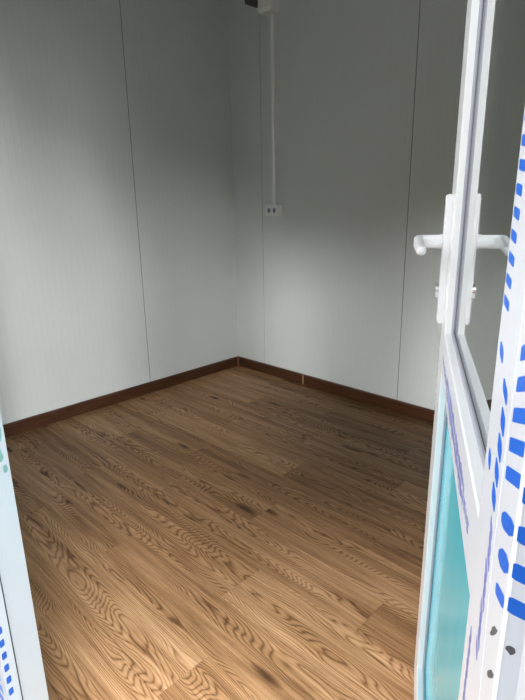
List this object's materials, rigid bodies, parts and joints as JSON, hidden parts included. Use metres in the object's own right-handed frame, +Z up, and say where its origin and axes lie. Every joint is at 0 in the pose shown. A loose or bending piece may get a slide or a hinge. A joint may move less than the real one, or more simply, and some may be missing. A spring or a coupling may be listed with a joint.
{
  "type": "portable site cabin",
  "caption": "Portable site cabin: steel frame, sandwich-panel walls round one room, and a glazed door that opens inwards.",
  "frame": {"origin": "middle of the footprint, on the ground", "axes": "+X along the front wall to the right, +Y from the front wall to the back wall, +Z up"},
  "size_m": [3.05, 2.26, 2.7429],
  "materials": {
    "panel_skin": "satin",
    "frame_paint": "semi-gloss",
    "galvanised": "matt",
    "deck": "bare",
    "planks": "satin",
    "dark_skirting": "satin",
    "white_profile": "gloss",
    "aluminium_sill": "satin",
    "glazing": "clear",
    "turquoise_film": "satin",
    "white_furniture": "gloss",
    "chrome_barrel": "polished",
    "lock_steel": "satin",
    "white_fitting": "satin",
    "smoked_lid": "smoked"
  },
  "bodies": {
    "cabin": {"base_long_rails": "frame_paint", "base_end_rails": "frame_paint", "floor_joists": "galvanised", "floor_board": "deck", "floor_planks": "planks", "corner_posts": "frame_paint", "roof_long_rails": "frame_paint", "roof_end_rails": "frame_paint", "ceiling_panel": "panel_skin", "roof_purlins": "galvanised", "roof_sheet": "galvanised", "lifting_eyes": "frame_paint", "back_wall": "panel_skin", "left_wall": "panel_skin", "right_wall": "panel_skin", "front_wall_left": "panel_skin", "front_wall_right": "panel_skin", "front_wall_over_door": "panel_skin", "door_jamb_left": "white_profile", "door_jamb_right": "white_profile", "door_head": "white_profile", "door_threshold": "aluminium_sill", "frame_hinges": "white_furniture", "strike_plate": "lock_steel", "skirting_back": "dark_skirting", "skirting_left": "dark_skirting", "skirting_right": "dark_skirting", "skirting_front": "dark_skirting", "skirting_clips": "dark_skirting", "wall_socket": "white_fitting", "trunking": "white_fitting", "distribution_box": "white_fitting"},
    "door": {"door_lock_stile": "white_profile", "door_hinge_stile": "white_profile", "door_top_rail": "white_profile", "door_mid_rail": "white_profile", "door_bottom_rail": "white_profile", "door_glass": "glazing", "door_glass_beads": "white_profile", "door_lower_panel": "turquoise_film", "door_panel_beads": "turquoise_film", "door_hinges": "white_furniture", "handle_plates": "white_furniture", "lock_cylinder": "chrome_barrel", "lock_faceplate": "lock_steel"},
    "levers": {"lever_handles": "white_furniture"},
    "lid": {"box_lid": "smoked_lid"}
  },
  "joints": [
    {"name": "door_hinge", "type": "hinge", "parent": "cabin", "child": "door", "pos_m": [1.1235, -1.044, 1.2], "axis": [0, 0, -1], "range_deg": [-61.8, 43.2]},
    {"name": "lever_turn", "type": "hinge", "parent": "door", "child": "levers", "pos_m": [0.73642, -0.37501, 1.186], "axis": [0.8813, 0.4726, 0], "range_deg": [0, 40], "stiffness_Nm_per_rad": 1.2, "springref_deg": -20.05},
    {"name": "lid_hinge", "type": "hinge", "parent": "cabin", "child": "lid", "pos_m": [-1.123, 0.9745, 2.35], "axis": [0, 0, -1], "range_deg": [-90, 80]}
  ]
}
